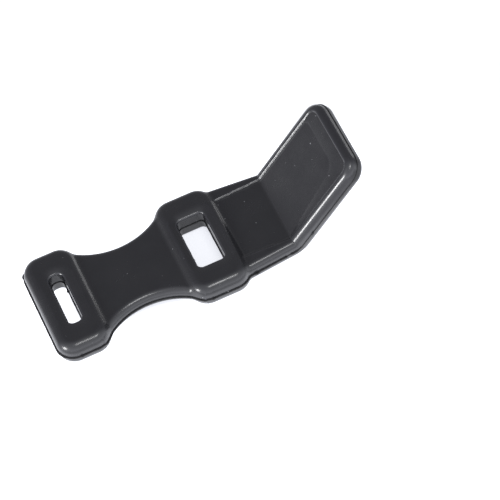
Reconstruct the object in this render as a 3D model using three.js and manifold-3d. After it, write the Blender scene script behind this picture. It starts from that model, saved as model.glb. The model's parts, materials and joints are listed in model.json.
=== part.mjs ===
// Strap-on rubber wheel chock: a flat moulded strap with an anchor block, a waisted neck,
// a middle block and a turned-up tab. Both blocks have a slot for 35 mm webbing.
//
// Units are millimetres. The part lies on its blocks: +X runs along the strap from the
// anchor block to the tab, +Y runs across it, and +Z is up. The origin is on the floor,
// below the middle of the part's length and width.
//
// The moulding is one piece of rubber. It is divided at its parting plane into an upper
// and a lower half, and across its length where one zone ends and the next begins.

import * as THREE from 'three';
import { mergeVertices } from 'three/addons/utils/BufferGeometryUtils.js';
import Module from 'manifold-3d';

const wasm = await Module();
wasm.setup();

// Overall sizes
const BLOCK_WIDTH = 74;
const ANCHOR_BLOCK_LENGTH = 33;
const NECK_LENGTH = 51;
const MIDDLE_BLOCK_LENGTH = 37.5;
const WEB_LENGTH = 31.2;
const TAB_LENGTH = 66.8;
const TAB_RISE = 46.5; // degrees between the web and the tab
const BLOCK_THICKNESS = 17.4;
const BLOCK_CORNER = 11;
const BLOCK_EDGE = 7; // rounding from the side walls to the flat faces

// Neck between the blocks
const NECK_THICKNESS = 10.8;
const NECK_END_WIDTH = 61;
const NECK_WAIST_WIDTH = 44;
const NECK_EDGE = 4;

// Slots for the webbing
const SLOT_LENGTH = 37;
const ANCHOR_SLOT_WIDTH = 8.2;
const ANCHOR_SLOT_CORNER = 3.3;
const MIDDLE_SLOT_WIDTH = 17;
const MIDDLE_SLOT_CORNER = 3;
const SLOT_MOUTH = 4; // flare of each slot mouth

// Web and tab: a thin panel with a raised rim
const WEB_START_WIDTH = 65.5;
const TAB_WIDTH = 59.4;
const TAB_CORNER = 9.8;
const RIM_THICKNESS = 12.6;
const RIM_EDGE = 4;
const TIP_RIM_WIDTH = 9;
const PANEL_WIDTH = 48; // between the rims
const PANEL_THICKNESS = 9.2;
const PANEL_CORNER = 6;
const PANEL_EDGE = 2; // rounding where the rim's inner wall meets the panel

// Flexing places
const NECK_FLEX = 45; // degrees each way
const TAB_FLEX_UP = 15;
const TAB_FLEX_DOWN = 20;
const FLEX_SPARE = 3; // degrees kept free past each limit
const PIECE_GAP = 0.3;

// Round shapes
const ARC_STEPS = 5;
const EDGE_STEPS = 3;
const KNUCKLE_STEPS = 10;

// Places along the strap, measured from the anchor block's end face
const NECK_START = ANCHOR_BLOCK_LENGTH;
const NECK_MIDDLE = NECK_START + NECK_LENGTH / 2;
const MIDDLE_BLOCK_START = NECK_START + NECK_LENGTH;
const WEB_START = MIDDLE_BLOCK_START + MIDDLE_BLOCK_LENGTH;
const BEND = WEB_START + WEB_LENGTH;

// The tip's farthest point, on the rounding between the tab's end and its outer face
const RISE = THREE.MathUtils.degToRad(TAB_RISE);
const TIP_REACH = (TAB_LENGTH - RIM_EDGE) * Math.cos(RISE)
  + (RIM_THICKNESS / 2 - RIM_EDGE) * Math.sin(RISE) + RIM_EDGE;
const HALF_LENGTH = (BEND + TIP_REACH) / 2;

// Outlines run this far past the end of their zone before they are cut to length
const OVERRUN = 12;

// Size of the cutting tools, clear of every piece
const TOOL_LENGTH = 4 * HALF_LENGTH;
const TOOL_WIDTH = 2 * BLOCK_WIDTH;
const MERGE_DISTANCE = 1e-5;

// ---------------------------------------------------------------- solids

function toSolid(geometry) {
  geometry.deleteAttribute('normal');
  geometry.deleteAttribute('uv');
  const merged = mergeVertices(geometry, MERGE_DISTANCE);
  return new wasm.Manifold(new wasm.Mesh({
    numProp: 3,
    vertProperties: new Float32Array(merged.attributes.position.array),
    triVerts: new Uint32Array(merged.index.array),
  }));
}

function toGeometry(solid) {
  const mesh = solid.getMesh();
  const geometry = new THREE.BufferGeometry();
  geometry.setAttribute('position', new THREE.BufferAttribute(new Float32Array(mesh.vertProperties), 3));
  geometry.setIndex(new THREE.BufferAttribute(new Uint32Array(mesh.triVerts), 1));
  geometry.computeVertexNormals();
  return geometry;
}

// A flat plate about the parting plane, with the outline at mid thickness and both faces
// rounded by the edge radius. The edges of its holes flare by the same radius.
function plate(outline, thickness, edge, lift = 0) {
  const geometry = new THREE.ExtrudeGeometry(outline, {
    depth: thickness - 2 * edge,
    steps: 1,
    curveSegments: ARC_STEPS,
    bevelThickness: edge,
    bevelSize: edge,
    bevelOffset: -edge,
    bevelSegments: EDGE_STEPS,
  });
  geometry.translate(0, 0, edge - thickness / 2 + lift);
  return toSolid(geometry);
}

// A prism across the strap from an outline drawn in the X-Z plane.
function acrossStrap(outline, shift = 0, turned = false) {
  const geometry = new THREE.ExtrudeGeometry(outline, {
    depth: TOOL_WIDTH,
    steps: 1,
    curveSegments: KNUCKLE_STEPS,
    bevelEnabled: false,
  });
  geometry.translate(0, 0, -TOOL_WIDTH / 2);
  geometry.rotateX(Math.PI / 2);
  if (turned) geometry.rotateZ(Math.PI);
  geometry.translate(shift, 0, 0);
  return toSolid(geometry);
}

// ---------------------------------------------------------------- outlines

function roundedRectangle(path, centreX, length, width, corner) {
  const left = centreX - length / 2;
  const right = centreX + length / 2;
  const side = width / 2;
  path.absarc(right - corner, corner - side, corner, -Math.PI / 2, 0, false);
  path.absarc(right - corner, side - corner, corner, 0, Math.PI / 2, false);
  path.absarc(left + corner, side - corner, corner, Math.PI / 2, Math.PI, false);
  path.absarc(left + corner, corner - side, corner, Math.PI, 1.5 * Math.PI, false);
  path.closePath();
  return path;
}

// Both sides of the neck are arcs through its end widths and its waist.
function neckOutline() {
  const sag = (NECK_END_WIDTH - NECK_WAIST_WIDTH) / 2;
  const radius = (NECK_LENGTH ** 2 / 4 + sag ** 2) / (2 * sag);
  const centreY = NECK_WAIST_WIDTH / 2 + radius;
  const halfAngle = Math.asin(NECK_LENGTH / 2 / radius);
  const back = NECK_START - OVERRUN;
  const front = MIDDLE_BLOCK_START + OVERRUN;
  const up = Math.PI / 2;
  const outline = new THREE.Shape();
  outline.moveTo(back, NECK_END_WIDTH / 2);
  outline.lineTo(back, -NECK_END_WIDTH / 2);
  outline.absarc(NECK_MIDDLE, -centreY, radius, up + halfAngle, up - halfAngle, true);
  outline.lineTo(front, -NECK_END_WIDTH / 2);
  outline.lineTo(front, NECK_END_WIDTH / 2);
  outline.absarc(NECK_MIDDLE, centreY, radius, -up + halfAngle, -up - halfAngle, true);
  outline.closePath();
  return outline;
}

// The web's sides run straight from its start to the bend and on past it.
function webOutline(startWidth, endWidth) {
  const slope = (endWidth - startWidth) / 2 / WEB_LENGTH;
  const back = WEB_START - OVERRUN;
  const front = BEND + OVERRUN;
  const backSide = startWidth / 2 - slope * OVERRUN;
  const frontSide = endWidth / 2 + slope * OVERRUN;
  const outline = new THREE.Shape();
  outline.moveTo(back, -backSide);
  outline.lineTo(front, -frontSide);
  outline.lineTo(front, frontSide);
  outline.lineTo(back, backSide);
  outline.closePath();
  return outline;
}

// The tab's outline in its own frame, with X = 0 at the bend.
function tabOutline(width, length, corner) {
  const back = -OVERRUN;
  const side = width / 2;
  const outline = new THREE.Shape();
  outline.moveTo(back, side);
  outline.lineTo(back, -side);
  outline.absarc(length - corner, corner - side, corner, -Math.PI / 2, 0, false);
  outline.absarc(length - corner, side - corner, corner, 0, Math.PI / 2, false);
  outline.closePath();
  return outline;
}

// Side view of a zone that ends in a round knuckle about the flex axis at the origin.
function knuckleEnd(start, thickness) {
  const outline = new THREE.Shape();
  outline.moveTo(start, thickness);
  outline.lineTo(start, -thickness);
  outline.lineTo(0, -thickness);
  outline.absarc(0, 0, thickness / 2, -Math.PI / 2, Math.PI / 2, false);
  outline.lineTo(0, thickness);
  outline.closePath();
  return outline;
}

// Side view of the facing zone: a hollow round the knuckle, opened above and below so
// that its lips stay clear of the knuckle's own zone through the whole flex.
function hollowEnd(end, thickness, lipAbove, lipBelow) {
  const above = THREE.MathUtils.degToRad(lipAbove);
  const below = THREE.MathUtils.degToRad(lipBelow);
  const outline = new THREE.Shape();
  outline.moveTo(end, thickness);
  outline.lineTo(end, -thickness);
  outline.lineTo(thickness / Math.tan(below), -thickness);
  outline.absarc(0, 0, thickness / 2 + PIECE_GAP, -below, above, false);
  outline.lineTo(thickness / Math.tan(above), thickness);
  outline.closePath();
  return outline;
}

// ---------------------------------------------------------------- zones

// A rounded block with a slot right through it.
function slottedBlock(start, length, slotWidth, slotCorner) {
  const middle = start + length / 2;
  const block = plate(roundedRectangle(new THREE.Shape(), middle, length, BLOCK_WIDTH, BLOCK_CORNER),
    BLOCK_THICKNESS, BLOCK_EDGE);
  const surround = roundedRectangle(new THREE.Shape(), middle, TOOL_WIDTH, TOOL_WIDTH, BLOCK_WIDTH / 2);
  surround.holes.push(roundedRectangle(new THREE.Path(), middle, slotWidth, SLOT_LENGTH, slotCorner));
  return block.intersect(plate(surround, BLOCK_THICKNESS, SLOT_MOUTH));
}

function anchorBlock() {
  return slottedBlock(0, ANCHOR_BLOCK_LENGTH, ANCHOR_SLOT_WIDTH, ANCHOR_SLOT_CORNER);
}

function middleBlock() {
  return slottedBlock(MIDDLE_BLOCK_START, MIDDLE_BLOCK_LENGTH, MIDDLE_SLOT_WIDTH, MIDDLE_SLOT_CORNER);
}

function outerNeck() {
  const lip = 90 - NECK_FLEX - FLEX_SPARE;
  const hollow = hollowEnd(NECK_LENGTH / 2 - PIECE_GAP, NECK_THICKNESS, lip, lip);
  return plate(neckOutline(), NECK_THICKNESS, NECK_EDGE)
    .intersect(acrossStrap(hollow, NECK_MIDDLE, true));
}

function innerNeck() {
  const knuckle = knuckleEnd(PIECE_GAP - NECK_LENGTH / 2, NECK_THICKNESS);
  return plate(neckOutline(), NECK_THICKNESS, NECK_EDGE)
    .intersect(acrossStrap(knuckle, NECK_MIDDLE, true));
}

// Takes the recess above and below the panel out of a rimmed plate.
function recessed(rimmed, recess) {
  const depth = 2 * RIM_THICKNESS;
  const lift = (PANEL_THICKNESS + depth) / 2;
  return rimmed
    .subtract(plate(recess, depth, PANEL_EDGE, lift))
    .subtract(plate(recess, depth, PANEL_EDGE, -lift));
}

function web() {
  const rimmed = plate(webOutline(WEB_START_WIDTH, TAB_WIDTH), RIM_THICKNESS, RIM_EDGE);
  const knuckle = knuckleEnd(PIECE_GAP - WEB_LENGTH, RIM_THICKNESS);
  return recessed(rimmed, webOutline(PANEL_WIDTH, PANEL_WIDTH)).intersect(acrossStrap(knuckle, BEND));
}

function tab() {
  const rimmed = plate(tabOutline(TAB_WIDTH, TAB_LENGTH, TAB_CORNER), RIM_THICKNESS, RIM_EDGE);
  const recess = tabOutline(PANEL_WIDTH, TAB_LENGTH - TIP_RIM_WIDTH, PANEL_CORNER);
  const lipAbove = 90 - TAB_RISE - TAB_FLEX_UP - FLEX_SPARE;
  const lipBelow = 90 - TAB_FLEX_DOWN - FLEX_SPARE;
  const hollow = hollowEnd(TAB_LENGTH + OVERRUN, RIM_THICKNESS, lipAbove, lipBelow);
  return recessed(rimmed, recess).intersect(acrossStrap(hollow));
}

// ---------------------------------------------------------------- scene

const RUBBER = { roughness: 0.5, metalness: 0 };

// The part of a zone above the parting plane (side 1) or below it (side -1).
function half(solid, side) {
  const keep = new THREE.BoxGeometry(TOOL_LENGTH, TOOL_WIDTH, BLOCK_THICKNESS);
  keep.translate(0, 0, side * (BLOCK_THICKNESS + PIECE_GAP) / 2);
  return solid.intersect(toSolid(keep));
}

function addHalves(group, name, solid, colour) {
  for (const [suffix, side] of [['upper', 1], ['lower', -1]]) {
    const material = new THREE.MeshStandardMaterial({ color: colour, ...RUBBER });
    const mesh = new THREE.Mesh(toGeometry(half(solid, side)), material);
    mesh.name = `${name}_${suffix}`;
    group.add(mesh);
  }
}

const wheelChock = new THREE.Group();

// The strap's parting plane is half a block above the floor.
const strap = new THREE.Group();
strap.position.set(-HALF_LENGTH, 0, BLOCK_THICKNESS / 2);
wheelChock.add(strap);

addHalves(strap, 'anchor_block', anchorBlock(), 0x2b2b30);
addHalves(strap, 'neck_outer', outerNeck(), 0x29292d);
addHalves(strap, 'neck_inner', innerNeck(), 0x29292d);
addHalves(strap, 'middle_block', middleBlock(), 0x2b2b30);
addHalves(strap, 'web', web(), 0x252528);

const tabGroup = new THREE.Group();
tabGroup.position.set(BEND, 0, 0);
tabGroup.rotation.y = -RISE;
strap.add(tabGroup);
addHalves(tabGroup, 'tab', tab(), 0x2d2d32);

export default wheelChock;
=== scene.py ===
"""Strap-on rubber wheel chock: the finished look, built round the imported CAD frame.

The chock is one black rubber moulding. Its shape is worked out flat, with the tab not yet
turned up, as one smooth solid. That solid is cut into the anchor block, the neck, the middle
block, the web and the tab, and then laid along the strap with its bend. The thin flash at
the parting line is grown along the cut between the two mould halves.

Shape sizes are millimetres in strap coordinates: u runs along the strap from the anchor
block's end face, v runs across it, and w is the height above the parting plane.
"""
import json
import math

import bmesh
import bpy
import numpy as np
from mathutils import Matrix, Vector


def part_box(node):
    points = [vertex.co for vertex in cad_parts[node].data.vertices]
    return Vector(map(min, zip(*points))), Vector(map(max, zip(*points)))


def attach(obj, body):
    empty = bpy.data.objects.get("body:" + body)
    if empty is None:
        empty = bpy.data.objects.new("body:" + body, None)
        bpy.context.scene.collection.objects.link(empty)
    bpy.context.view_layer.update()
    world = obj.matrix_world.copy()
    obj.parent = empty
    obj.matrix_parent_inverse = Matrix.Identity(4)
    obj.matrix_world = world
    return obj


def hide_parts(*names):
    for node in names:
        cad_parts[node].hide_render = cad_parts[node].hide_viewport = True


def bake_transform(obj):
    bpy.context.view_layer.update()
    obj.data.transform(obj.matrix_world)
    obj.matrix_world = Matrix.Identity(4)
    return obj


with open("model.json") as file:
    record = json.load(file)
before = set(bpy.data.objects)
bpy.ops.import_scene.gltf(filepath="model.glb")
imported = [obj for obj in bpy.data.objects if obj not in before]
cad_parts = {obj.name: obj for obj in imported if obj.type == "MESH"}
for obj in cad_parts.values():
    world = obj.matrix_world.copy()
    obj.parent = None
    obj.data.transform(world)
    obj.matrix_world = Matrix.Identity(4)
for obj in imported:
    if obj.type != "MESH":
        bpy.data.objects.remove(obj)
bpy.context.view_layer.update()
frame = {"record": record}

import openvdb
from mathutils import Matrix, Vector

MM = 0.001

# ---------------------------------------------------------------- sizes from the frame

joints = {joint["name"]: joint for joint in frame["record"]["behaviour"]["joints"]}
mounts = {mount["name"]: mount for mount in frame["record"]["mounts"]}
anchor_low, anchor_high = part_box("anchor_block_upper")
middle_low, middle_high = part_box("middle_block_upper")

STRAP_START = anchor_low[0]
PARTING_HEIGHT = joints["neck_flex"]["pos_m"][2]


def along(x):
    """Distance of a frame X along the strap, in mm."""
    return (x - STRAP_START) / MM


BLOCK_WIDTH = 2 * anchor_high[1] / MM
BLOCK_HALF = (anchor_high[2] - PARTING_HEIGHT) / MM
ANCHOR_END = along(anchor_high[0])
MIDDLE_START = along(middle_low[0])
MIDDLE_END = along(middle_high[0])
NECK_MIDDLE = along(joints["neck_flex"]["pos_m"][0])
BEND = along(joints["tab_flex"]["pos_m"][0])
tab_normal = mounts["tab_face"]["axis"]
TAB_RISE = math.atan2(-tab_normal[0], tab_normal[2])

# ---------------------------------------------------------------- shape sizes, mm

BLOCK_CORNER = 11.0  # in plan
BLOCK_EDGE = 5.9  # round the faces
WALL_DRAFT = math.tan(math.radians(3))
CREASE_FILLET = 1.6  # where the neck and the web leave a block

NECK_HALF = 5.4
NECK_EDGE = 4.2
NECK_WAIST = 44.0
NECK_END_WIDTH = 61.0
NECK_OVERLAP = 6.0  # how far the neck runs into each block

SLOT_LENGTH = 36.0
ANCHOR_SLOT_WIDTH = 8.4
ANCHOR_SLOT_CORNER = 3.4
MIDDLE_SLOT_WIDTH = 16.5
MIDDLE_SLOT_CORNER = 2.8
SLOT_LIP = 0.9  # rounding of the slot's rim
DISH_DEPTH = 1.6  # the block's faces sink towards the slot
DISH_REACH = 6.0
DISH_CURVE = 1.5  # how much of the sinking is close to the slot

WEB_START_WIDTH = 65.5
WEB_WIDEST = 1.4  # the web widens up to this many of its own lengths back from the bend
TAB_WIDTH = 59.4
TAB_LENGTH = 66.8
TAB_CORNER = 10.6
RIM_HALF = 6.3
RIM_EDGE = 4.2
PANEL_HALF = 5.4

# The panel is sunk between the rims. On the tab its bounds draw in towards the tip: a wide
# shallow slope climbs from them, and then a short steep step up to the rim's crest.
SLOPE_RISE = 0.35
STEP_WIDTH = 0.85
WEB_PANEL_SIDE = 21.2
TAB_PANEL_SIDE = 22.4
NEAR_TAPER = 7.6
PANEL_TIP = 53.6
PANEL_NEAR_CORNER = 7.0
PANEL_FAR_CORNER = 3.0
CREST_SIDE = 24.6
WEB_CREST_SIDE = 23.3
CREST_TIP = 63.2
CREST_CORNER = 6.0

BEND_RADIUS = 8.0
TAB_CUT_BACK = 5.0  # the tab is cut from the web this far before the bend begins
ROOT = 1.9  # the blocks keep this much of the neck and the web, past the creases

# Rounding of the bend takes a little length off the sharp corner's two legs.
BEND_REACH = BEND_RADIUS * math.tan(TAB_RISE / 2)
BEND_START = BEND - BEND_REACH
BEND_END = BEND_START + BEND_RADIUS * TAB_RISE
TAB_ZERO = BEND_END - BEND_REACH
TAB_TIP = TAB_ZERO + TAB_LENGTH
TAB_CUT = BEND_START - TAB_CUT_BACK

# How finely the shape is sampled
VOXEL = 0.5
BAND = 3  # voxels of grid beyond the surface
GRID_SHIFT = 0.19
SNAP_STEPS = 3
FLATTEST_SLOPE = 0.2  # least squared slope that a vertex is moved by
PROBE = 0.05
EDGE_PROBE = 0.6
MERGE_SHARE = 0.4  # path vertices closer than this share of a voxel become one
ON_PLANE = 1e-4  # a vertex this close to the parting plane lies in it
SLOT_CLEARANCE = 4.0  # a slot's outline stays this far inside its block's
SKIN_CORNERS = 8  # a face with more corners than this is a zone's cut end
TINY = 1e-9  # keeps a divisor off zero

# ---------------------------------------------------------------- shape of the moulding


def rounded_rectangle(x, y, length, width, corner):
    """Signed distance to a rectangle about the origin, with rounded corners."""
    a = np.abs(x) - length / 2 + corner
    b = np.abs(y) - width / 2 + corner
    inside = np.minimum(np.maximum(a, b), 0)
    return inside + np.hypot(np.maximum(a, 0), np.maximum(b, 0)) - corner


def rounded_meeting(a, b, radius):
    """Inside both a and b, with the edge between them rounded."""
    rounded = np.hypot(np.maximum(a + radius, 0), np.maximum(b + radius, 0))
    return np.minimum(np.maximum(a, b), -radius) + rounded


def filleted_join(a, b, fillet):
    """Inside a or b, with the crease between them filled."""
    near = np.maximum(fillet - np.abs(a - b), 0) / fillet
    return np.minimum(a, b) - near * near * fillet / 4


def plate(outline, w, half, edge):
    """Both halves of an outline, with drafted walls and rounded edges."""
    drafted = outline + WALL_DRAFT * np.abs(w)
    return rounded_meeting(drafted, np.abs(w) - half, edge)


def slotted_block(u, v, w, start, end, slot_width, slot_corner):
    """A rounded block. Both faces sink to its slot, whose walls lean to the parting plane."""
    middle = (start + end) / 2
    outline = rounded_rectangle(u - middle, v, end - start, BLOCK_WIDTH, BLOCK_CORNER)
    to_slot = rounded_rectangle(u - middle, v, slot_width, SLOT_LENGTH, slot_corner)
    sunk = DISH_DEPTH * np.clip(1 - to_slot / DISH_REACH, 0, 1) ** DISH_CURVE
    solid = plate(outline, w, BLOCK_HALF - sunk, BLOCK_EDGE)
    return solid, WALL_DRAFT * np.abs(w) - to_slot


def neck(u, v, w):
    """Both sides are arcs through the neck's end widths and its waist."""
    half_length = (MIDDLE_START - ANCHOR_END) / 2
    sag = (NECK_END_WIDTH - NECK_WAIST) / 2
    radius = (half_length**2 + sag**2) / (2 * sag)
    sides = radius - np.hypot(u - NECK_MIDDLE, np.abs(v) - NECK_WAIST / 2 - radius)
    ends = np.abs(u - NECK_MIDDLE) - half_length - NECK_OVERLAP
    return np.maximum(plate(sides, w, NECK_HALF, NECK_EDGE), ends)


def rim_rise(u, v):
    """Height above the panel's face: none inside its outline, full on the rim's crest."""
    s = u - TAB_ZERO
    out = np.clip(s / PANEL_TIP, 0, 1)
    on_web = np.clip(-s / (BEND - MIDDLE_END), 0, 1)
    far_side = TAB_PANEL_SIDE + (WEB_PANEL_SIDE - TAB_PANEL_SIDE) * on_web
    near_side = far_side - NEAR_TAPER * out
    crest_side = CREST_SIDE + (WEB_CREST_SIDE - CREST_SIDE) * on_web
    outside_panel = np.maximum(
        rounded_meeting(s - PANEL_TIP, -v - near_side, PANEL_NEAR_CORNER),
        rounded_meeting(s - PANEL_TIP, v - far_side, PANEL_FAR_CORNER),
    )
    to_crest = rounded_meeting(s - CREST_TIP, np.abs(v) - crest_side, CREST_CORNER)
    inside_crest = np.maximum(-to_crest, 0)
    climb = np.maximum(outside_panel, 0)
    slope_share = climb / np.maximum(climb + inside_crest, TINY)
    slope_share = slope_share * (2 - slope_share)  # steep at first, level at the step's foot
    step_share = np.clip(1 - inside_crest / STEP_WIDTH, 0, 1)
    return SLOPE_RISE * slope_share + (RIM_HALF - PANEL_HALF - SLOPE_RISE) * step_share


def web_and_tab(u, v, w):
    back = MIDDLE_END - BLOCK_CORNER
    up_the_web = np.clip((BEND - u) / (BEND - MIDDLE_END), 0, WEB_WIDEST)
    widening = up_the_web * (WEB_START_WIDTH - TAB_WIDTH) / 2
    outline = rounded_rectangle(
        u - (back + TAB_TIP) / 2, np.abs(v) - widening, TAB_TIP - back, TAB_WIDTH, TAB_CORNER
    )
    return plate(outline, w, PANEL_HALF + rim_rise(u, v), RIM_EDGE)


def moulding(u, v, w):
    """Signed distance to the flat moulding: negative in the rubber."""
    anchor, anchor_slot = slotted_block(
        u, v, w, 0, ANCHOR_END, ANCHOR_SLOT_WIDTH, ANCHOR_SLOT_CORNER
    )
    middle, middle_slot = slotted_block(
        u, v, w, MIDDLE_START, MIDDLE_END, MIDDLE_SLOT_WIDTH, MIDDLE_SLOT_CORNER
    )
    thin = np.minimum(neck(u, v, w), web_and_tab(u, v, w))
    solid = filleted_join(np.minimum(anchor, middle), thin, CREASE_FILLET)
    solid = rounded_meeting(solid, anchor_slot, SLOT_LIP)
    return rounded_meeting(solid, middle_slot, SLOT_LIP)


def slope(points):
    """How fast the signed distance grows along u, v and w at each point."""
    rises = [
        moulding(*(points + step).T) - moulding(*(points - step).T) for step in np.eye(3) * PROBE
    ]
    return np.stack(rises, axis=1) / (2 * PROBE)


def edge_rounding(points):
    """Total curvature at each point, per mm: positive on outer edges, negative in creases."""
    centre = moulding(*points.T)
    total = np.zeros(len(points))
    for step in np.eye(3) * EDGE_PROBE:
        total += moulding(*(points + step).T) + moulding(*(points - step).T) - 2 * centre
    return total / EDGE_PROBE**2


def unit(vectors):
    return vectors / np.maximum(np.linalg.norm(vectors, axis=1, keepdims=True), TINY)


def bend_up(points):
    """Lays flat strap points along the real strap, in metres in the frame."""
    u, v, w = points.T
    angle = np.clip((u - BEND_START) / BEND_RADIUS, 0, TAB_RISE)
    beyond = np.maximum(u - BEND_END, 0)
    turn = BEND_RADIUS - w
    x = np.minimum(u, BEND_START) + turn * np.sin(angle) + beyond * math.cos(TAB_RISE)
    z = BEND_RADIUS - turn * np.cos(angle) + beyond * math.sin(TAB_RISE)
    return np.stack([STRAP_START + x * MM, v * MM, PARTING_HEIGHT + z * MM], axis=1)


def bend_normals(points, normals):
    """Turns flat surface normals with the strap as bend_up lays it."""
    u, v, w = points.T
    in_bend = (u > BEND_START) & (u < BEND_END)
    squeeze = np.where(in_bend, 1 - w / BEND_RADIUS, 1)
    angle = np.clip((u - BEND_START) / BEND_RADIUS, 0, TAB_RISE)
    n_u, n_v, n_w = normals[:, 0] / squeeze, normals[:, 1], normals[:, 2]
    n_x = n_u * np.cos(angle) - n_w * np.sin(angle)
    n_z = n_u * np.sin(angle) + n_w * np.cos(angle)
    return unit(np.stack([n_x, n_v, n_z], axis=1))


def flat_skin():
    """The moulding's surface as quads, each vertex moved exactly on to the shape."""
    margin = BAND * VOXEL
    # The grid's planes miss the straight walls and, by half a row, the parting plane: a face
    # that lies in a plane of the grid would pinch
    top = (math.ceil((BLOCK_HALF + margin) / VOXEL) + 0.5) * VOXEL
    side = BLOCK_WIDTH / 2 + margin
    low = np.array([-margin - GRID_SHIFT, -side - GRID_SHIFT, -top])
    high = np.array([TAB_TIP + margin, side, top])
    u, v, w = (np.arange(a, b + VOXEL / 2, VOXEL) for a, b in zip(low, high))
    field = moulding(u[:, None, None], v[None, :, None], w[None, None, :])
    grid = openvdb.FloatGrid(margin)
    grid.copyFromArray(field.astype(np.float32), tolerance=0)
    grid.transform = openvdb.createLinearTransform(voxelSize=VOXEL)
    points, quads = grid.convertToQuads()
    points = points.astype(float) + low
    for _ in range(SNAP_STEPS):
        gradient = slope(points)
        steepness = np.maximum((gradient**2).sum(axis=1), FLATTEST_SLOPE)
        points -= gradient * (moulding(*points.T) / steepness)[:, None]
    return points, quads


# ---------------------------------------------------------------- materials

RUBBER_IOR = 1.52


def srgb(hex_colour):
    """Linear RGBA of an sRGB hex colour."""
    channels = [int(hex_colour[k : k + 2], 16) / 255 for k in (1, 3, 5)]
    return [c / 12.92 if c <= 0.04045 else ((c + 0.055) / 1.055) ** 2.4 for c in channels] + [1.0]


def add(tree, kind, inputs=None, **settings):
    """Adds a node, with its settings, and sets or links its inputs."""
    node = tree.nodes.new(kind)
    for name, value in settings.items():
        setattr(node, name, value)
    for name, value in (inputs or {}).items():
        if isinstance(value, bpy.types.NodeSocket):
            tree.links.new(value, node.inputs[name])
        else:
            node.inputs[name].default_value = value
    return node


def new_material(name):
    material = bpy.data.materials.new(name)
    material.use_nodes = True
    material.node_tree.nodes.clear()
    return material, material.node_tree


def in_millimetres(tree):
    """The piece's own coordinates, in mm."""
    position = add(tree, "ShaderNodeTexCoord").outputs["Object"]
    return add(
        tree, "ShaderNodeVectorMath", {0: position, "Scale": 1 / MM}, operation="SCALE"
    ).outputs["Vector"]


def moulded_rubber():
    """Compression-moulded black rubber, as it leaves a polished steel mould: near black with
    a faint blue cast, a soft satin gloss that is uneven where the mould release bloomed, a
    very fine grain, slightly greyed outer edges, and a few pale specks of dust."""
    material, tree = new_material("moulded_black_rubber")
    millimetres = in_millimetres(tree)

    # Bloom: clouds 18 mm across
    bloom = add(
        tree,
        "ShaderNodeTexNoise",
        {"Vector": millimetres, "Scale": 1 / 18, "Detail": 4.0, "Roughness": 0.6},
    ).outputs["Fac"]
    # Handling scuffs: streaks 3 mm across
    scuff = add(
        tree,
        "ShaderNodeTexNoise",
        {"Vector": millimetres, "Scale": 1 / 3, "Detail": 5.0, "Roughness": 0.65},
    ).outputs["Fac"]
    # Grain of the mould's face is about 0.1 mm, drawn at 0.7 mm so that it shows
    grain = add(
        tree,
        "ShaderNodeTexNoise",
        {"Vector": millimetres, "Scale": 1 / 0.7, "Detail": 3.0, "Roughness": 0.6},
    ).outputs["Fac"]

    colour = add(
        tree,
        "ShaderNodeMix",
        {"Factor": bloom, "A": srgb("#1e1e21"), "B": srgb("#272729")},
        data_type="RGBA",
    ).outputs["Result"]
    edge = add(tree, "ShaderNodeAttribute", attribute_name="edge_rounding").outputs["Fac"]
    worn = add(
        tree,
        "ShaderNodeMapRange",
        {"Value": edge, "From Min": 0.12, "From Max": 0.5, "To Max": 0.35},
    ).outputs["Result"]
    edged = add(
        tree,
        "ShaderNodeMix",
        {"Factor": worn, "A": colour, "B": srgb("#38383d")},
        data_type="RGBA",
    ).outputs["Result"]

    # Dust specks up to 0.8 mm across, on a 3 mm net of which most cells stay empty
    net = add(
        tree, "ShaderNodeTexVoronoi", {"Vector": millimetres, "Scale": 1 / 3, "Randomness": 1.0}
    )
    chosen = add(tree, "ShaderNodeSeparateColor", {"Color": net.outputs["Color"]}).outputs["Red"]
    size = add(
        tree,
        "ShaderNodeMapRange",
        {"Value": chosen, "From Min": 0.82, "From Max": 1.0, "To Max": 0.135},
    ).outputs["Result"]
    speck = add(
        tree, "ShaderNodeMath", {0: net.outputs["Distance"], 1: size}, operation="LESS_THAN"
    ).outputs["Value"]
    dusted = add(
        tree,
        "ShaderNodeMix",
        {"Factor": speck, "A": edged, "B": srgb("#7d7d80")},
        data_type="RGBA",
    ).outputs["Result"]

    gloss = add(
        tree,
        "ShaderNodeMapRange",
        {"Value": bloom, "From Min": 0.3, "From Max": 0.7, "To Min": 0.18, "To Max": 0.25},
    ).outputs["Result"]
    scuffed = add(
        tree,
        "ShaderNodeMapRange",
        {"Value": scuff, "From Min": 0.4, "From Max": 0.75, "To Max": 0.06},
    ).outputs["Result"]
    roughness = add(tree, "ShaderNodeMath", {0: gloss, 1: scuffed}, operation="ADD")
    ripple = add(
        tree, "ShaderNodeBump", {"Height": scuff, "Strength": 0.018, "Distance": 0.6 * MM}
    ).outputs["Normal"]
    fine = add(
        tree,
        "ShaderNodeBump",
        {"Height": grain, "Strength": 0.008, "Distance": 0.12 * MM, "Normal": ripple},
    ).outputs["Normal"]
    shader = add(
        tree,
        "ShaderNodeBsdfPrincipled",
        {
            "Base Color": dusted,
            "Roughness": roughness.outputs["Value"],
            "IOR": RUBBER_IOR,
            "Normal": fine,
        },
    )
    add(tree, "ShaderNodeOutputMaterial", {"Surface": shader.outputs["BSDF"]})
    return material


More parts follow.
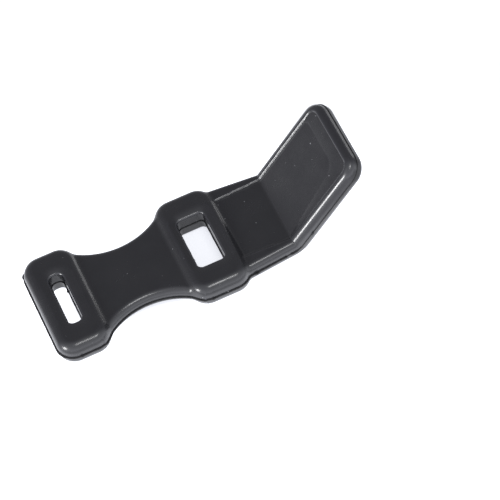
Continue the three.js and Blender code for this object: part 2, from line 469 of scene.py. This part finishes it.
def flash_rubber():
    """The same rubber as thin torn flash: rougher, with no polish, and painted near black, far
    darker than the rubber: painted shade for the dark line the fin's shadow draws along the
    parting line.
    """
    material, tree = new_material("torn_flash_painted_dark")
    # The torn face is lumpy, with lumps 1.25 mm across
    torn = add(
        tree,
        "ShaderNodeTexNoise",
        {"Vector": in_millimetres(tree), "Scale": 1 / 1.25, "Detail": 4.0, "Roughness": 0.6},
    ).outputs["Fac"]
    # Painted shade: near black, darker than the rubber itself, standing for the shadowed line
    # along the parting line
    colour = add(
        tree,
        "ShaderNodeMix",
        {"Factor": torn, "A": srgb("#060607"), "B": srgb("#111112")},
        data_type="RGBA",
    )
    roughness = add(
        tree,
        "ShaderNodeMapRange",
        {"Value": torn, "From Min": 0.3, "From Max": 0.7, "To Min": 0.6, "To Max": 0.8},
    )
    bump = add(tree, "ShaderNodeBump", {"Height": torn, "Strength": 0.3, "Distance": 0.1 * MM})
    shader = add(
        tree,
        "ShaderNodeBsdfPrincipled",
        {
            "Base Color": colour.outputs["Result"],
            "Roughness": roughness.outputs["Result"],
            "IOR": RUBBER_IOR,
            "Normal": bump.outputs["Normal"],
        },
    )
    add(tree, "ShaderNodeOutputMaterial", {"Surface": shader.outputs["BSDF"]})
    return material


RUBBER = moulded_rubber()
FLASH = flash_rubber()

# ---------------------------------------------------------------- zones of the moulding


def new_object(name, data):
    thing = bpy.data.objects.new(name, data)
    bpy.context.scene.collection.objects.link(thing)
    return thing


def cut(work, place, normal, **kept):
    geometry = list(work.verts) + list(work.edges) + list(work.faces)
    bmesh.ops.bisect_plane(work, geom=geometry, plane_co=place, plane_no=normal, **kept)


def zone(name, skin, start, end):
    """Cuts the flat skin to a zone, closes its cut ends, and lays it along the strap."""
    work = bmesh.new()
    work.from_mesh(skin)
    for place, direction in ((start, -1), (end, 1)):
        if place is None:
            continue
        cut(work, (place, 0, 0), (direction, 0, 0), clear_outer=True)
        open_edges = [edge for edge in work.edges if edge.is_boundary]
        bmesh.ops.contextual_create(work, geom=open_edges)
    mesh = bpy.data.meshes.new(name)
    work.to_mesh(mesh)
    work.free()

    flat = np.empty(len(mesh.vertices) * 3)
    mesh.vertices.foreach_get("co", flat)
    flat = flat.reshape(-1, 3)
    surface = bend_normals(flat, unit(slope(flat)))
    rounding = mesh.attributes.new("edge_rounding", "FLOAT", "POINT")
    rounding.data.foreach_set("value", edge_rounding(flat).astype(np.float32))
    mesh.vertices.foreach_set("co", bend_up(flat).ravel())
    mesh.shade_smooth()
    mesh.update()

    corner_vertex = np.empty(len(mesh.loops), dtype=np.int32)
    mesh.loops.foreach_get("vertex_index", corner_vertex)
    normals = surface[corner_vertex]
    for face in mesh.polygons:
        if face.loop_total > SKIN_CORNERS:
            normals[face.loop_start : face.loop_start + face.loop_total] = face.normal
    mesh.normals_split_custom_set(normals.tolist())
    mesh.materials.append(RUBBER)
    return new_object(name, mesh)


skin_points, skin_quads = flat_skin()
skin = bpy.data.meshes.new("flat_skin")
skin.from_pydata(skin_points.tolist(), [], skin_quads.tolist())
skin.validate()

ZONES = {
    "anchor_block": (None, ANCHOR_END + ROOT),
    "neck": (ANCHOR_END + ROOT, MIDDLE_START - ROOT),
    "middle_block": (MIDDLE_START - ROOT, MIDDLE_END + ROOT),
    "web": (MIDDLE_END + ROOT, TAB_CUT),
    "tab": (TAB_CUT, None),
}
pieces = {name: zone(name, skin, *ends) for name, ends in ZONES.items()}

# ---------------------------------------------------------------- parting flash


def parting_paths():
    """The skin's outline at the parting plane, as flat path meshes with outward directions:
    the rim of the strap, the rim of the tab, and the two slots."""
    work = bmesh.new()
    work.from_mesh(skin)
    cut(work, (0, 0, 0), (0, 0, 1))
    off_plane = [v for v in work.verts if abs(v.co.z) >= ON_PLANE]
    bmesh.ops.delete(work, geom=off_plane, context="VERTS")
    bmesh.ops.delete(work, geom=list(work.faces), context="FACES_ONLY")
    bmesh.ops.remove_doubles(work, verts=list(work.verts), dist=VOXEL * MERGE_SHARE)

    def in_slot(point, start, end):
        """Well inside the block's outline, so not on its outer rim."""
        from_middle = abs(point.x - (start + end) / 2)
        return (
            from_middle < (end - start) / 2 - SLOT_CLEARANCE
            and abs(point.y) < BLOCK_WIDTH / 2 - SLOT_CLEARANCE
        )

    groups = {"rim_flash": [], "tab_flash": [], "anchor_slot_flash": [], "middle_slot_flash": []}
    for edge in work.edges:
        centre = (edge.verts[0].co + edge.verts[1].co) / 2
        if in_slot(centre, 0, ANCHOR_END):
            groups["anchor_slot_flash"].append(edge)
        elif in_slot(centre, MIDDLE_START, MIDDLE_END):
            groups["middle_slot_flash"].append(edge)
        elif centre.x < TAB_CUT:
            groups["rim_flash"].append(edge)
        else:
            groups["tab_flash"].append(edge)
    paths = {}
    for name, edges in groups.items():
        ends = list(dict.fromkeys(v for edge in edges for v in edge.verts))
        place = {v: k for k, v in enumerate(ends)}
        flat = np.array([v.co[:] for v in ends])
        links = [[place[v] for v in edge.verts] for edge in edges]
        mesh = bpy.data.meshes.new(name + "_path")
        mesh.from_pydata(flat.tolist(), links, [])
        outward = slope(flat)
        outward[:, 2] = 0
        attribute = mesh.attributes.new("outward", "FLOAT_VECTOR", "POINT")
        attribute.data.foreach_set("vector", unit(outward).astype(np.float32).ravel())
        paths[name] = mesh
    work.free()
    return paths


def flash_tree():
    """Grows flash from a path: a thin fin of uneven width with a few torn tags."""
    tree = bpy.data.node_groups.new("parting_flash", "GeometryNodeTree")
    sizes = (
        ("Root Depth", "NodeSocketFloat", 0.5),
        ("Width", "NodeSocketFloat", 0.6),
        ("Ragged Width", "NodeSocketFloat", 0.5),
        ("Torn Width", "NodeSocketFloat", 0.8),
        ("Thickness", "NodeSocketFloat", 0.45),
        ("Sway", "NodeSocketFloat", 0.25),
        ("Seed", "NodeSocketFloat", 1.0),
    )
    tree.interface.new_socket("Geometry", in_out="INPUT", socket_type="NodeSocketGeometry")
    for name, kind, value in sizes:
        tree.interface.new_socket(name, in_out="INPUT", socket_type=kind).default_value = value
    tree.interface.new_socket("Material", in_out="INPUT", socket_type="NodeSocketMaterial")
    tree.interface.new_socket("Geometry", in_out="OUTPUT", socket_type="NodeSocketGeometry")
    given = add(tree, "NodeGroupInput").outputs
    place = add(tree, "GeometryNodeInputPosition").outputs["Position"]
    outward = add(
        tree, "GeometryNodeInputNamedAttribute", {"Name": "outward"}, data_type="FLOAT_VECTOR"
    ).outputs["Attribute"]

    # Uneven width: ripples 4 mm long, and torn tags where a ripple 7 mm long peaks
    ragged = add(
        tree,
        "ShaderNodeTexNoise",
        {"Vector": place, "W": given["Seed"], "Scale": 1 / 4, "Detail": 3.0},
        noise_dimensions="4D",
    ).outputs["Fac"]
    slow = add(
        tree,
        "ShaderNodeTexNoise",
        {"Vector": place, "W": given["Seed"], "Scale": 1 / 7, "Detail": 1.0},
        noise_dimensions="4D",
    ).outputs["Fac"]
    torn = add(
        tree,
        "ShaderNodeMapRange",
        {"Value": slow, "From Min": 0.66, "From Max": 0.74, "To Max": given["Torn Width"]},
    ).outputs["Result"]
    ragged = add(
        tree,
        "ShaderNodeMath",
        {0: ragged, 1: given["Ragged Width"], 2: torn},
        operation="MULTIPLY_ADD",
    ).outputs["Value"]
    width = add(
        tree, "ShaderNodeMath", {0: given["Width"], 1: given["Root Depth"]}, operation="ADD"
    ).outputs["Value"]
    width = add(tree, "ShaderNodeMath", {0: width, 1: ragged}, operation="ADD").outputs["Value"]

    # The fin starts inside the rubber, half its thickness below the parting plane
    half_down = add(
        tree, "ShaderNodeMath", {0: given["Thickness"], 1: -0.5}, operation="MULTIPLY"
    ).outputs["Value"]
    inward = add(
        tree, "ShaderNodeMath", {0: given["Root Depth"], 1: -1.0}, operation="MULTIPLY"
    ).outputs["Value"]
    root = add(
        tree, "ShaderNodeVectorMath", {0: outward, "Scale": inward}, operation="SCALE"
    ).outputs["Vector"]
    drop = add(tree, "ShaderNodeCombineXYZ", {"Z": half_down}).outputs["Vector"]
    start = add(tree, "ShaderNodeVectorMath", {0: root, 1: drop}, operation="ADD")
    moved = add(
        tree,
        "GeometryNodeSetPosition",
        {"Geometry": given["Geometry"], "Offset": start.outputs["Vector"]},
    )
    strip = add(
        tree,
        "GeometryNodeExtrudeMesh",
        {"Mesh": moved.outputs["Geometry"], "Offset": outward, "Offset Scale": width},
        mode="EDGES",
    )
    marked = add(
        tree,
        "GeometryNodeStoreNamedAttribute",
        {"Geometry": strip.outputs["Mesh"], "Name": "tip", "Value": strip.outputs["Top"]},
        data_type="BOOLEAN",
        domain="POINT",
    ).outputs["Geometry"]
    up = add(tree, "ShaderNodeCombineXYZ", {"Z": 1.0}).outputs["Vector"]
    raised = add(
        tree,
        "GeometryNodeExtrudeMesh",
        {"Mesh": marked, "Offset": up, "Offset Scale": given["Thickness"], "Individual": False},
        mode="FACES",
    ).outputs["Mesh"]
    base = add(tree, "GeometryNodeFlipFaces", {"Mesh": marked}).outputs["Mesh"]
    both = add(tree, "GeometryNodeJoinGeometry")
    tree.links.new(raised, both.inputs["Geometry"])
    tree.links.new(base, both.inputs["Geometry"])
    closed = add(
        tree,
        "GeometryNodeMergeByDistance",
        {"Geometry": both.outputs["Geometry"], "Distance": 0.001},
    ).outputs["Geometry"]

    # The free edge thins to a third and sways up and down in waves 6 mm long
    tip = add(
        tree, "GeometryNodeInputNamedAttribute", {"Name": "tip"}, data_type="FLOAT"
    ).outputs["Attribute"]
    thin = add(
        tree, "ShaderNodeMath", {0: tip, 1: -0.66, 2: 1.0}, operation="MULTIPLY_ADD"
    ).outputs["Value"]
    flatten = add(tree, "ShaderNodeCombineXYZ", {"X": 1.0, "Y": 1.0, "Z": thin})
    tapered = add(
        tree,
        "ShaderNodeVectorMath",
        {0: place, 1: flatten.outputs["Vector"]},
        operation="MULTIPLY",
    ).outputs["Vector"]
    wave = add(
        tree,
        "ShaderNodeTexNoise",
        {"Vector": place, "W": given["Seed"], "Scale": 1 / 6, "Detail": 1.0},
        noise_dimensions="4D",
    ).outputs["Fac"]
    for value, operation in ((0.5, "SUBTRACT"), (given["Sway"], "MULTIPLY"), (tip, "MULTIPLY")):
        step = add(tree, "ShaderNodeMath", {0: wave, 1: value}, operation=operation)
        wave = step.outputs["Value"]
    lift = add(tree, "ShaderNodeCombineXYZ", {"Z": wave}).outputs["Vector"]
    shaped = add(
        tree,
        "GeometryNodeSetPosition",
        {"Geometry": closed, "Position": tapered, "Offset": lift},
    )
    real = add(tree, "GeometryNodeRealizeInstances", {"Geometry": shaped.outputs["Geometry"]})
    dressed = add(
        tree,
        "GeometryNodeSetMaterial",
        {"Geometry": real.outputs["Geometry"], "Material": given["Material"]},
    )
    add(tree, "NodeGroupOutput", {"Geometry": dressed.outputs["Geometry"]})
    return tree


FLASH_TREE = flash_tree()


def grow_flash(name, path, **sizes):
    """Runs the flash tree on a flat path, and lays the flash along the strap."""
    grower = new_object(name + "_grower", path)
    modifier = grower.modifiers.new("flash", "NODES")
    modifier.node_group = FLASH_TREE
    items = FLASH_TREE.interface.items_tree
    sockets = {item.name: item.identifier for item in items if item.in_out == "INPUT"}
    modifier[sockets["Material"]] = FLASH
    for size, value in sizes.items():
        modifier[sockets[size.replace("_", " ").title()]] = value
    grower.update_tag()
    depsgraph = bpy.context.evaluated_depsgraph_get()
    mesh = bpy.data.meshes.new_from_object(grower.evaluated_get(depsgraph))
    mesh.name = name
    grower.modifiers.clear()
    bpy.data.objects.remove(grower)

    work = bmesh.new()
    work.from_mesh(mesh)
    bmesh.ops.recalc_face_normals(work, faces=list(work.faces))
    work.to_mesh(mesh)
    work.free()
    flat = np.empty(len(mesh.vertices) * 3)
    mesh.vertices.foreach_get("co", flat)
    mesh.vertices.foreach_set("co", bend_up(flat.reshape(-1, 3)).ravel())
    mesh.update()
    return new_object(name, mesh)


FLASHES = {
    "rim_flash": {"seed": 1.0, "width": 0.6},
    "tab_flash": {"seed": 2.0, "width": 0.3, "ragged_width": 0.3},
    "anchor_slot_flash": {"seed": 3.0, "width": 0.3},
    "middle_slot_flash": {"seed": 4.0, "width": 0.3},
}
paths = parting_paths()
for name, sizes in FLASHES.items():
    pieces[name] = grow_flash(name, paths[name], **sizes)

# ---------------------------------------------------------------- pieces on their bodies; the neck, the tab and their flash baked in place


def strap_point(u):
    """A point on the strap's centre line before the bend, in the frame."""
    return (STRAP_START + u * MM, 0, PARTING_HEIGHT)


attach(pieces["anchor_block"], "anchor")
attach(pieces["anchor_slot_flash"], "anchor")
for name in ("middle_block", "web", "middle_slot_flash"):
    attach(pieces[name], "strap")
for name in ("neck", "rim_flash"):
    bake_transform(pieces[name])
for name in ("tab", "tab_flash"):
    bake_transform(pieces[name])

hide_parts("anchor_block_upper", "anchor_block_lower")
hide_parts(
    "neck_outer_upper", "neck_outer_lower", "neck_inner_upper", "neck_inner_lower"
)
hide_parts("middle_block_upper", "middle_block_lower")
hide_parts("web_upper", "web_lower")
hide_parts("tab_upper", "tab_lower")

# ---------------------------------------------------------------- camera

CAMERA_PLACE = Vector((-0.081878, -1.014182, 1.404940))  # metres from the strap's start
CAMERA_RIGHT = Vector((0.910308, -0.389046, -0.141360))
CAMERA_UP = Vector((0.396129, 0.719709, 0.570176))
CAMERA_LOOK = Vector((0.120087, 0.575033, -0.809269))
CAMERA_LENS = 214.05  # mm, for a sensor 36 mm wide

camera_data = bpy.data.cameras.new("camera")
camera_data.sensor_width = 36
camera_data.lens = CAMERA_LENS
camera_data.clip_end = 20
camera = new_object("camera", camera_data)
axes = Matrix((CAMERA_RIGHT, CAMERA_UP, -CAMERA_LOOK)).transposed().to_4x4()
camera.matrix_world = Matrix.Translation(Vector(strap_point(0)) + CAMERA_PLACE) @ axes
bpy.context.scene.camera = camera

# ---------------------------------------------------------------- studio

CAMERA_AZIMUTH = math.atan2(-CAMERA_LOOK.y, -CAMERA_LOOK.x)
SOFTBOX_DISTANCE = 2.2

# The studio's own glow, from low to high: dim behind the chock, and bright on the side that
# the camera looks from
BACK_GLOW = ((0.08, (0.165, 0.165, 0.178)), (0.8, (0.105, 0.105, 0.113)))
FRONT_GLOW = ((0.0, (0.92, 0.94, 1.0)), (0.8, (0.4, 0.41, 0.43)))
GLOW_MEETING = 0.25  # the sine of the angle, to each side of square on, where the two blend
GLOW_STRENGTH = 2.5

# The paper's own light: shaded under the chock, brightest just round it, so that no shadow
# shows there, and fading far away. Its rings are ovals drawn out along the strap, and each
# place is metres from the middle, across the strap.
FLOOR_CORNERS = ((-4, -4, 0), (4, -4, 0), (4, 4, 0), (-4, 4, 0))
FLOOR_OVAL = (0.37, 1.0, 1.0)
FLOOR_RINGS = ((0.026, 0.45), (0.037, 1.0), (0.056, 1.0), (0.07, 0.36), (0.3, 0.33), (1.0, 0.05))
FLOOR_STRENGTH = 1.55
FLOOR_LIGHT = (0.96, 0.98, 1.05, 1.0)


def softbox(name, turn, elevation, width, height, power):
    """A softbox that faces the chock. Turn is degrees round from the camera's side."""
    data = bpy.data.lights.new(name, "AREA")
    data.shape = "RECTANGLE"
    data.size, data.size_y = width, height
    data.energy = power
    light = new_object(name, data)
    azimuth, rise = CAMERA_AZIMUTH + math.radians(turn), math.radians(elevation)
    direction = Vector(
        (math.cos(azimuth) * math.cos(rise), math.sin(azimuth) * math.cos(rise), math.sin(rise))
    )
    light.location = direction * SOFTBOX_DISTANCE
    light.rotation_euler = (-direction).to_track_quat("-Z", "Y").to_euler()


def fill_ramp(ramp, stops):
    """Sets a colour ramp's two end stops, and adds the ones between."""
    elements = ramp.color_ramp.elements
    for element, (place, colour) in zip(elements, (stops[0], stops[-1])):
        element.position, element.color = place, (*colour, 1)
    for place, colour in stops[1:-1]:
        elements.new(place).color = (*colour, 1)


softbox("top_softbox", turn=30, elevation=64, width=0.8, height=0.35, power=11)
softbox("left_softbox", turn=-62, elevation=17, width=0.6, height=0.5, power=32)
softbox("back_softbox", turn=137, elevation=0, width=1.0, height=0.4, power=3)

world = bpy.data.worlds.new("studio")
world.use_nodes = True
sky_tree = world.node_tree
sky_tree.nodes.clear()
direction = add(sky_tree, "ShaderNodeTexCoord").outputs["Generated"]
height = add(sky_tree, "ShaderNodeSeparateXYZ", {"Vector": direction}).outputs["Z"]
back = add(sky_tree, "ShaderNodeValToRGB", {"Fac": height})
fill_ramp(back, BACK_GLOW)
front = add(sky_tree, "ShaderNodeValToRGB", {"Fac": height})
fill_ramp(front, FRONT_GLOW)
camera_way = (math.cos(CAMERA_AZIMUTH), math.sin(CAMERA_AZIMUTH), 0)
facing = add(
    sky_tree, "ShaderNodeVectorMath", {0: direction, 1: camera_way}, operation="DOT_PRODUCT"
).outputs["Value"]
share = add(
    sky_tree,
    "ShaderNodeMapRange",
    {"Value": facing, "From Min": -GLOW_MEETING, "From Max": GLOW_MEETING},
).outputs["Result"]
sky = add(
    sky_tree,
    "ShaderNodeMix",
    {"Factor": share, "A": back.outputs["Color"], "B": front.outputs["Color"]},
    data_type="RGBA",
).outputs["Result"]
background = add(sky_tree, "ShaderNodeBackground", {"Color": sky, "Strength": GLOW_STRENGTH})
add(sky_tree, "ShaderNodeOutputWorld", {"Surface": background.outputs["Background"]})
bpy.context.scene.world = world
bpy.context.scene.view_settings.view_transform = "Standard"

# White paper sweep that glows with painted light: painted shade under the chock, and a painted
# bright ring round it
floor_mesh = bpy.data.meshes.new("floor")
floor_mesh.from_pydata(FLOOR_CORNERS, [], [(0, 1, 2, 3)])
floor = new_object("floor", floor_mesh)
paper, paper_tree = new_material("paper_sweep_painted_light")
place = add(paper_tree, "ShaderNodeTexCoord").outputs["Object"]
oval = add(
    paper_tree, "ShaderNodeVectorMath", {0: place, 1: FLOOR_OVAL}, operation="MULTIPLY"
).outputs["Vector"]
ring = add(paper_tree, "ShaderNodeVectorMath", {0: oval}, operation="LENGTH").outputs["Value"]
fade = add(paper_tree, "ShaderNodeValToRGB", {"Fac": ring})
fill_ramp(fade, [(reach, (level,) * 3) for reach, level in FLOOR_RINGS])
lit = add(
    paper_tree,
    "ShaderNodeMath",
    {0: fade.outputs["Color"], 1: FLOOR_STRENGTH},
    operation="MULTIPLY",
).outputs["Value"]
# Painted light and shade: the paper glows though it is no lamp, darker under the chock and
# brightest just round it
glow = add(
    paper_tree,
    "ShaderNodeBsdfPrincipled",
    {
        "Base Color": srgb("#bcbcbc"),
        "Roughness": 0.9,
        "Emission Color": FLOOR_LIGHT,
        "Emission Strength": lit,
    },
)
add(paper_tree, "ShaderNodeOutputMaterial", {"Surface": glow.outputs["BSDF"]})
floor_mesh.materials.append(paper)
